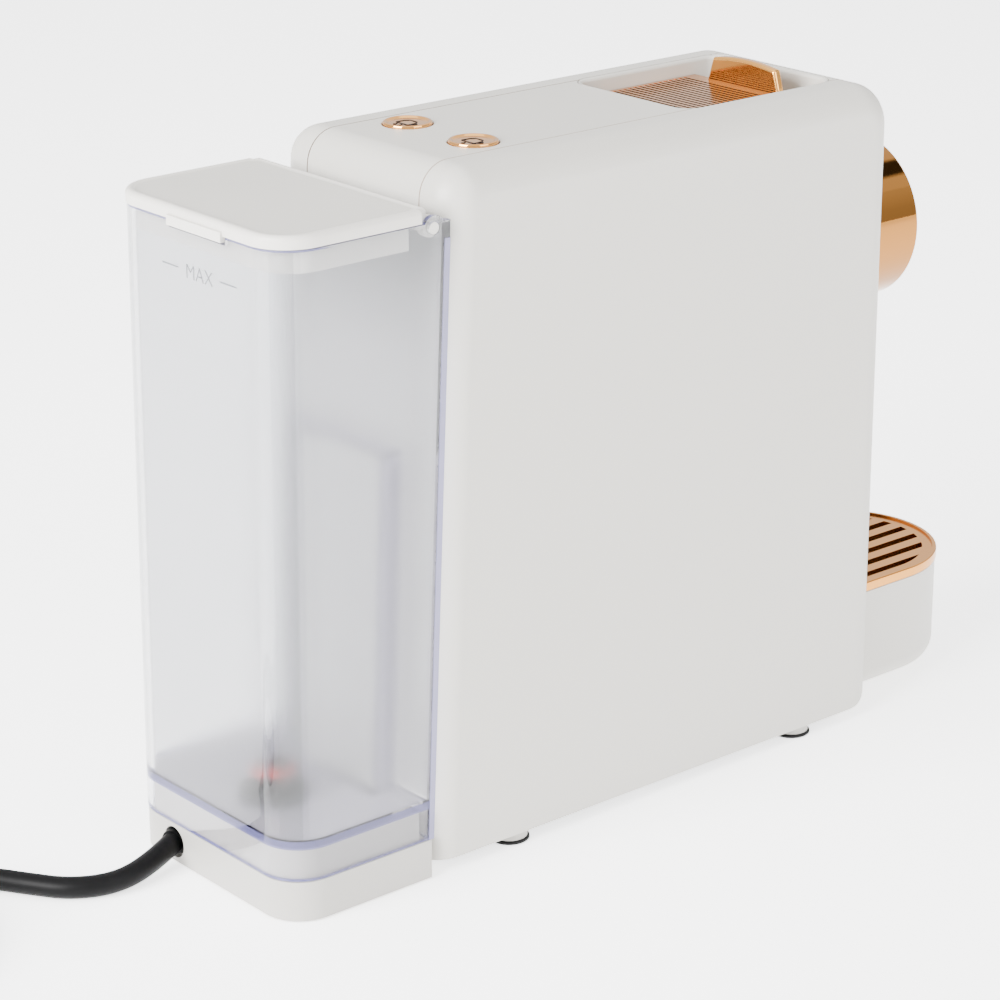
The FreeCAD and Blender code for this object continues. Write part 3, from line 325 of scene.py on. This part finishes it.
# --- Lever recess -----------------------------------------------------------------------------------
# Moulded liner of the recess in the top, in the casing's colour, with a soft round lip. Its ears hold
# the lever's steel pin.
liner = eased("recess_bezel", 0.0)
low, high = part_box("recess_bezel")
rim_depth, opening_half = 0.2 * mm, 28.5 * mm
border, corner_inset, corner_reach = 0.9 * mm, 7.7 * mm, 7.0 * mm
inner_rim = []
for edge in liner.edges:
    on_rim = min(v.co.z for v in edge.verts) > high.z - rim_depth and abs(edge.verts[0].co.x) < opening_half
    if on_rim and edge.is_manifold and edge.calc_face_angle(0.0) > 0.6:
        middle = (edge.verts[0].co + edge.verts[1].co) / 2
        near = min(middle.x - low.x, high.x - middle.x, middle.y - low.y, high.y - middle.y)
        corner = Vector((
            max(0.0, abs(middle.x) - (high.x - corner_inset)),
            max(0.0, abs(middle.y - (low.y + high.y) / 2) - ((high.y - low.y) / 2 - corner_inset))))
        if near > border and corner.length < corner_reach:
            inner_rim.append(edge)
bmesh.ops.bevel(liner, geom=inner_rim, offset=1.25 * mm, offset_type="OFFSET", segments=5, profile=0.5,
                affect="EDGES", material=-1, clamp_overlap=False)
finished(liner, "recess_liner", "housing", "shell_plastic", ["recess_bezel"], casing_white)

# --- Lever ------------------------------------------------------------------------------------------
# Die-cast zinc lever, plated rose gold: a ribbed plate with a mirror-polished grip lip at its front.
# It turns on a steel pin at the rear of the recess and drives the pod cage through two links.
def metal(name, tint, rough, groove=None):
    """Plated metal with faint polishing marks and, where groove is given, painted shade in dark brown below
    that height.
    """
    material = moulded(name, tint, cloud=0.02, rough=rough, patchy=0.03, size=1800.0, depth=0.015,
                       Metallic=1.0)
    if groove:
        tree = material.node_tree
        texture = next(node for node in tree.nodes if node.type == "GROUP")
        place = joined(tree, "ShaderNodeTexCoord").outputs["Object"]
        height = joined(tree, "ShaderNodeSeparateXYZ", i0=place)
        depth = joined(tree, "ShaderNodeMapRange", i0=height.outputs["Z"], i1=groove - 0.45 * mm,
                       i2=groove - 0.1 * mm)
        shade = joined(tree, "ShaderNodeMix", {"data_type": "RGBA"}, i0=depth.outputs[0],
                       i6=groove_painted_shade, i7=tint)
        tree.links.new(shade.outputs[2], texture.inputs["Colour"])
    return material


rose_gold = (0.78, 0.38, 0.10, 1.0)
# Painted shade: the dark brown laid into the grooves between the lever's ribs.
groove_painted_shade = (0.05, 0.014, 0.006, 1.0)
plate_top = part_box("recess_bezel")[1].z - 5.3 * mm
lip_polish = metal("lip_polish", rose_gold, 0.06)
rib_satin = metal("rib_satin", (0.70, 0.35, 0.16, 1.0), 0.2, groove=plate_top)
handle = eased("lever", 0.3)
for face in handle.faces:
    if face.calc_center_median().z < plate_top + 0.1 * mm:
        face.material_index = 1
finished(handle, "ribbed_lever", "lever", "rose_gold_metal", ["lever"], lip_polish, rib_satin)

# --- Buttons ----------------------------------------------------------------------------------------
# Two plated push buttons for a short and a long coffee, with a bevelled rim, a shallow dished face
# and the outline of a cup printed in it. Each sits on its own spring.
def turn(build, profile, x, y, z, steps):
    """Turns a profile of (radius, height) in millimetres about the upright line through x, y."""
    spots = [build.verts.new((x + radius * mm, y, z + height * mm)) for radius, height in profile]
    spokes = [build.edges.new(pair) for pair in zip(spots, spots[1:])]
    bmesh.ops.spin(build, geom=spots + spokes, cent=(x, y, 0), axis=(0, 0, 1), angle=2 * math.pi,
                   steps=steps, use_merge=True)


def closed(build):
    """The turned shape with its seam welded and its faces pointing outwards."""
    bmesh.ops.remove_doubles(build, verts=build.verts, dist=0.001 * mm)
    bmesh.ops.recalc_face_normals(build, faces=build.faces)
    return build


button_polish = metal("button_polish", (0.74, 0.36, 0.11, 1.0), 0.09)
print_brown = moulded("print_brown", (0.012, 0.006, 0.003, 1.0), rough=0.5, Specular_IOR_Level=0.2)
cup = [[(-3.3, 2.0), (-3.1, -1.2), (-2.0, -2.8), (1.4, -2.8), (2.5, -1.2), (2.7, 2.0), (-3.3, 2.0)],
       [(2.6, 1.3), (4.1, 1.2), (4.4, 0.0), (3.6, -1.0), (2.4, -0.9)]]
steam = {"left": [[(-0.3, 3.0), (0.1, 3.8), (-0.4, 4.6)]],
         "right": [[(-1.5, 3.0), (-1.1, 3.8), (-1.6, 4.6)], [(0.9, 3.0), (1.3, 3.8), (0.8, 4.6)]]}
cap_profile = [(0.0, -0.75), (5.9, -0.7), (6.5, -0.5), (7.0, -0.06), (7.4, 0.0), (7.8, -0.2), (8.0, -0.7),
               (8.0, -3.4), (9.2, -3.4), (9.2, -4.6), (2.6, -4.6), (2.6, -9.6), (0.0, -9.6)]
line_radius, line_depth = 0.2 * mm, 0.68 * mm
for side in ("left", "right"):
    low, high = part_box("button_" + side)
    middle = (low + high) / 2
    cap = bmesh.new()
    turn(cap, cap_profile, middle.x, middle.y, high.z, 72)
    finished(closed(cap), "button_cap_" + side, side + "_button", "rose_gold_metal", ["button_" + side],
             button_polish)
    lines = bpy.data.curves.new("cup_mark_" + side, "CURVE")
    lines.dimensions = "3D"
    lines.bevel_depth = line_radius
    lines.bevel_resolution = 2
    for stroke in cup + steam[side]:
        spline = lines.splines.new("POLY")
        spline.points.add(len(stroke) - 1)
        for point, (u, v) in zip(spline.points, stroke):
            point.co = (middle.x - u * mm, middle.y + v * mm, high.z - line_depth, 1.0)
    lines.materials.append(print_brown)
    mark = new_piece("cup_mark_" + side, lines)
    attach(mark, side + "_button")

# --- Spout ------------------------------------------------------------------------------------------
# Round spout housing and its front cap, moulded in ABS and vacuum plated in polished rose gold. They
# cover the extraction plate, and the coffee nozzle comes out underneath.
plating = metal("spout_plating", (0.34, 0.145, 0.032, 1.0), 0.05)
for node, name in (("spout_housing", "spout_drum"), ("spout_cap", "spout_front")):
    finished(eased(node, 0.35, segments=3), name, "housing", "rose_gold_plating", [node], plating)

# --- Drip tray --------------------------------------------------------------------------------------
# Plated grille with long slots that lies in the rim of a white moulded tray. The tray pulls out to
# the front together with the bin for used pods.
grille_satin = metal("grille_satin", (0.62, 0.27, 0.06, 1.0), 0.24)
finished(eased("drip_grille", 0.25), "slotted_grille", "grille", "rose_gold_metal", ["drip_grille"],
         grille_satin)
tray_white = moulded("tray_white", off_white, cloud=0.01, rough=0.38, size=2400.0, depth=0.08)
finished(eased("drip_tray", 0.3), "pull_out_tray", "drawer", "white_plastic", ["drip_tray"], tray_white)

# --- Water tank -------------------------------------------------------------------------------------
# Clear SAN tank, polished outside and frosted inside, with a faint violet tint that gathers where its
# walls are seen edge on: rim, flange, floor and the foot of the skirt.
def clear(name, tint, rough, size=300.0, depth=0.0, bulk=1.0):
    """Clear plastic that lets shadow rays through, so that light reaches what is inside."""
    material = moulded(name, tint, cloud=0.0, rough=rough, patchy=0.02 if rough > 0.1 else 0.0, size=size,
                       depth=depth, Transmission_Weight=bulk, IOR=1.49)
    tree = material.node_tree
    output, shader = tree.nodes["Material Output"], tree.nodes["Principled BSDF"]
    see_through = joined(tree, "ShaderNodeBsdfTransparent", i0=(0.93, 0.93, 0.95, 1.0))
    ray = joined(tree, "ShaderNodeLightPath")
    mixed = joined(tree, "ShaderNodeMixShader", i0=ray.outputs["Is Shadow Ray"], i1=shader.outputs[0],
                   i2=see_through.outputs[0])
    tree.links.new(mixed.outputs[0], output.inputs[0])
    return material


# Every face starts in the first finish, polished; these name the others by their place in the list.
FROSTED, VIOLET, POCKET, LAVENDER, SHADED_REAR, SKIRT = range(1, 7)
tank_finishes = [
    clear("polished_wall", (0.90, 0.905, 0.92, 1.0), 0.03),
    clear("frosted_wall", (0.72, 0.73, 0.75, 1.0), 0.2, size=2600.0, depth=0.12),
    clear("violet_edge", (0.10, 0.097, 0.23, 1.0), 0.12, bulk=0.5),
    clear("pocket_edge", (0.50, 0.48, 0.60, 1.0), 0.2, bulk=0.9),
    clear("lavender_edge", (0.40, 0.385, 0.62, 1.0), 0.1, bulk=0.6),
    # Painted shade: a darker copy of the frosted wall for the inner face of the rear wall, so that wall reads
    # darker.
    clear("frosted_rear_painted_shade", (0.42, 0.425, 0.44, 1.0), 0.2, size=2600.0, depth=0.12),
    clear("skirt_wall", (0.72, 0.72, 0.75, 1.0), 0.04)]
low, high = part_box("water_tank")
corner, wall, taper = 14.0 * mm, 2.4 * mm, 0.01
floor_top, floor_low, rim_z = 28.0 * mm, 25.4 * mm, 216.4 * mm
rim_band, foot_band, rim_reach = 0.6 * mm, 0.5 * mm, 3.0 * mm
pocket_half, pocket_side, pocket_reach = 27.0 * mm, 20.0 * mm, 20.0 * mm
flange_depth, flange_slope = 9.0 * mm, 0.045
tank = eased("water_tank", 0.25)
for height in (floor_top + 0.1 * mm, floor_low - 0.1 * mm, low.z + foot_band, rim_z - rim_band):
    bmesh.ops.bisect_plane(tank, geom=tank.verts[:] + tank.edges[:] + tank.faces[:],
                           plane_co=(0, 0, height), plane_no=(0, 0, 1))
for face in tank.faces:
    spot, normal = face.calc_center_median(), face.normal
    behind = high.y - taper * spot.z - spot.y
    beside = high.x - abs(spot.x)
    if behind < corner and beside < corner:
        within = corner - math.hypot(corner - behind, corner - beside) > 0.6 * wall
    else:
        within = min(behind, beside) > 0.6 * wall
    if spot.z > floor_top - 0.2 * mm and min(behind, beside) > 0.6 * wall:
        # Inner faces that face forward, on the rear wall, take the painted shade.
        face.material_index = SHADED_REAR if normal.y < -0.5 else FROSTED
    if (abs(normal.z) > 0.8 and spot.z > rim_z - rim_reach) or spot.z < low.z + 0.45 * mm:
        face.material_index = VIOLET
    in_pocket = (abs(spot.x) < pocket_half and spot.z > floor_top and within
                 and spot.y < low.y + pocket_reach)
    if in_pocket and ((abs(normal.x) > 0.8 and abs(spot.x) > pocket_side) or normal.z > 0.8):
        face.material_index = POCKET
    if rim_z + 0.3 * mm > spot.z > rim_z - rim_band and not within:
        face.material_index = VIOLET
    if low.z + foot_band < spot.z < floor_low:
        face.material_index = SKIRT
    if floor_low - 0.1 * mm < spot.z < floor_top + 0.1 * mm and not within:
        face.material_index = VIOLET
    if beside < 0.2 * mm and spot.y < low.y + flange_depth + flange_slope * (high.z - spot.z):
        face.material_index = LAVENDER if abs(normal.x) > 0.97 else VIOLET
    if normal.z > 0.9 and abs(spot.z - floor_top) < 0.2 * mm:
        face.material_index = POCKET
finished(tank, "clear_tank", "tank", "clear_plastic", ["water_tank"], *tank_finishes, sharp=30.0)

# --- Level mark -------------------------------------------------------------------------------------
# Full mark on the tank's rear wall, raised in the mould: the word for full with a dash on each side.
# It is part of the tank's own plastic and rides with it.
mark_font = bpy.data.curves.new("level_word", "FONT")
mark_font.body = "MAX"
mark_font.size = 6.6 * mm
mark_font.extrude = 0.12 * mm
mark_font.offset = -0.1 * mm
mark_font.align_x = "CENTER"
word = bpy.data.objects.new("level_word", mark_font)
bpy.context.scene.collection.objects.link(word)
bpy.context.view_layer.update()
word_mesh = bpy.data.meshes.new_from_object(word.evaluated_get(bpy.context.evaluated_depsgraph_get()))
bpy.data.objects.remove(word)
mark_low, mark_middle, mark_high = 199.8 * mm, -3.2 * mm, 204.8 * mm
mark_y = high.y - taper * mark_high
word_mesh.transform(Matrix(((-1, 0, 0, mark_middle), (0, 0, 1, mark_y), (0, 1, 0, mark_low), (0, 0, 0, 1))))
level = bmesh.new()
level.from_mesh(word_mesh)
dash_depth, dash_height = 0.24 * mm, 0.45 * mm
for x0, x1 in ((7.6, 15.9), (-22.1, -13.7)):
    dash_place = Matrix.Translation(((x0 + x1) / 2 * mm, mark_y, (mark_low + mark_high) / 2))
    dash_size = Matrix.Diagonal(((x1 - x0) * mm, dash_depth, dash_height, 1.0))
    bmesh.ops.create_cube(level, size=1.0, matrix=dash_place @ dash_size)
# Painted shade: the raised clear letters and dashes are drawn in an opaque dark grey for the shade they show
# on the wall.
mark_painted_shade = moulded("mark_painted_shade", colour(74, 76, 84), rough=0.35)
finished(level, "level_mark", "tank", "clear_plastic", [], mark_painted_shade)

# --- Tank lid ---------------------------------------------------------------------------------------
# White moulded lid with a raised round border, a rim that hangs inside the tank, a finger tab at the
# rear and two arms whose pins turn in the tank's ears.
lid_white = moulded("lid_white", (0.55, 0.53, 0.49, 1.0), cloud=0.01, rough=0.4, size=2400.0, depth=0.08)
lid = eased("tank_lid", 0.25)
lid_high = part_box("tank_lid")[1].z
top_faces = [face for face in lid.faces
             if face.normal.z > 0.999 and face.calc_center_median().z > lid_high - 0.05 * mm]
bmesh.ops.inset_region(lid, faces=top_faces, thickness=0.9 * mm, depth=0.0, use_even_offset=True)
bmesh.ops.inset_region(lid, faces=top_faces, thickness=0.5 * mm, depth=-0.45 * mm, use_even_offset=True)
# Painted shade: a darker copy of the lid's white for the top panel inside the raised border, so the border
# reads lighter as if catching a highlight.
lid_panel_painted_shade = moulded("lid_panel_painted_shade", (0.46, 0.445, 0.41, 1.0), cloud=0.01, rough=0.48, size=2000.0, depth=0.12)
for face in top_faces:
    face.material_index = 1
finished(lid, "lid_panel", "lid", "white_plastic", ["tank_lid"], lid_white, lid_panel_painted_shade)

# --- Rear base --------------------------------------------------------------------------------------
# White moulded base that carries the tank and holds the inlet socket, with a plate screwed in below
# and the cord's hole in its rear wall.
base_white = moulded("base_white", (0.36, 0.346, 0.32, 1.0), cloud=0.01, rough=0.4, size=2400.0, depth=0.08)
finished(eased("rear_base", 0.3), "tank_base", "housing", "white_plastic", ["rear_base"], base_white)
dress(base_white, "base_plate")

# --- Valve and inlet --------------------------------------------------------------------------------
# Black acetal valve in the tank's floor with a red silicone seal and a steel spring. Lifting the tank
# off the socket closes it.
rubber_black = moulded("rubber_black", (0.0018, 0.0018, 0.002, 1.0), cloud=0.1, rough=0.5, size=900.0,
                       depth=0.2, Specular_IOR_Level=0.2)
acetal = moulded("acetal_black", (0.004, 0.004, 0.005, 1.0), cloud=0.06, rough=0.34, size=1400.0, depth=0.05)
silicone_red = moulded("silicone_red", colour(176, 40, 32), cloud=0.05, rough=0.5, size=1200.0, depth=0.08,
                       Subsurface_Weight=0.1, Subsurface_Scale=0.002)
dress(acetal, "valve_body", "valve_poppet", "pod_bin", "pump_body")
dress(rubber_black, "valve_seal")
low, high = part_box("valve_poppet")
valve_centre = (low + high) / 2
filter_profile = [(0.0, 4.6), (2.4, 4.3), (4.3, 3.1), (5.3, 1.2), (5.5, -1.2), (0.0, -1.2)]
ring_profile = [(5.3, 1.6), (6.1, 1.2), (6.3, 0.4), (6.1, -0.4), (5.3, -0.8), (5.3, 1.6)]
for name, profile, finish, slot in (("valve_filter", filter_profile, acetal, "dark_plastic"),
                                    ("valve_ring", ring_profile, silicone_red, "red_silicone")):
    build = bmesh.new()
    turn(build, profile, valve_centre.x, valve_centre.y, high.z, 48)
    finished(closed(build), name, "poppet", slot, [], finish)

# --- Feet -------------------------------------------------------------------------------------------
# White stems moulded with the chassis, and black rubber pads pressed over them, at the four corners
# of the underside.
low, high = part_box("foot_pads")
pad = 6.8 * mm
peg_profile = [(0.0, 5.0), (5.9, 5.0), (6.1, 4.6), (6.1, 1.2), (0.0, 1.2)]
disc_profile = [(0.0, 1.3), (6.3, 1.3), (6.8, 0.9), (6.8, 0.35), (6.4, 0.0), (0.0, 0.0)]
for name, profile, finish, slot, node in (
        ("foot_pegs", peg_profile, base_white, "white_plastic", "foot_stems"),
        ("foot_discs", disc_profile, rubber_black, "black_rubber", "foot_pads")):
    build = bmesh.new()
    for x in (low.x + pad, high.x - pad):
        for y in (low.y + pad, high.y - pad):
            turn(build, profile, x, y, 0.0, 48)
    finished(closed(build), name, "housing", slot, [node], finish)
dress(rubber_black, "inlet_seal", "pump_mounts")

# --- Brewing mechanism ------------------------------------------------------------------------------
# Glass-filled nylon frame, pod cage and extraction plate, driven by stamped steel links on steel pins.
# Springs, screws and the pump's plunger are steel too.
nylon = moulded("filled_nylon", colour(62, 64, 68), cloud=0.08, rough=0.5, size=800.0, depth=0.2)
steel = moulded("turned_steel", colour(186, 188, 190), cloud=0.05, rough=0.24, patchy=0.08, size=2200.0,
                depth=0.05, Metallic=1.0)
dress(nylon, "pod_cage", "brew_frame", "pod_chute", "extraction_plate", "coffee_nozzle")
dress(steel, "lever_pin", "link_pins", "drive_links", "cage_pins", "piercing_needles", "button_spring_left",
      "button_spring_right", "valve_spring", "pump_spring", "pump_plunger", "frame_screws", "chassis_screws",
      "board_screws")

# --- Frame and chassis ------------------------------------------------------------------------------
# Grey polypropylene mouldings that carry everything inside, screwed together. The flow meter, its
# wheel and the inlet socket are moulded in the same grey.
frame_grey = moulded("frame_grey", colour(120, 122, 124), cloud=0.06, rough=0.5, size=700.0, depth=0.15)
dress(frame_grey, "bottom_chassis", "inner_frame", "flow_meter", "flow_impeller", "inlet_socket")

# --- Heater, hoses and boards -----------------------------------------------------------------------
# Cast aluminium heater, clear silicone hoses pushed over their ports, and two glass-fibre circuit
# boards, one of them screwed under the buttons.
cast_aluminium = moulded("cast_aluminium", colour(172, 174, 176), cloud=0.1, rough=0.42, patchy=0.1,
                         size=500.0, depth=0.35, Metallic=1.0)
hose_silicone = moulded("hose_silicone", colour(214, 216, 214), cloud=0.04, rough=0.34, size=900.0,
                        depth=0.05, Subsurface_Weight=0.3, Subsurface_Scale=0.002)
board_green = moulded("board_green", colour(26, 82, 54), cloud=0.12, rough=0.36, size=1600.0, depth=0.06)
dress(cast_aluminium, "thermoblock")
dress(hose_silicone, "hose_inlet", "hose_pump", "hose_heater")
dress(board_green, "button_board", "control_board")
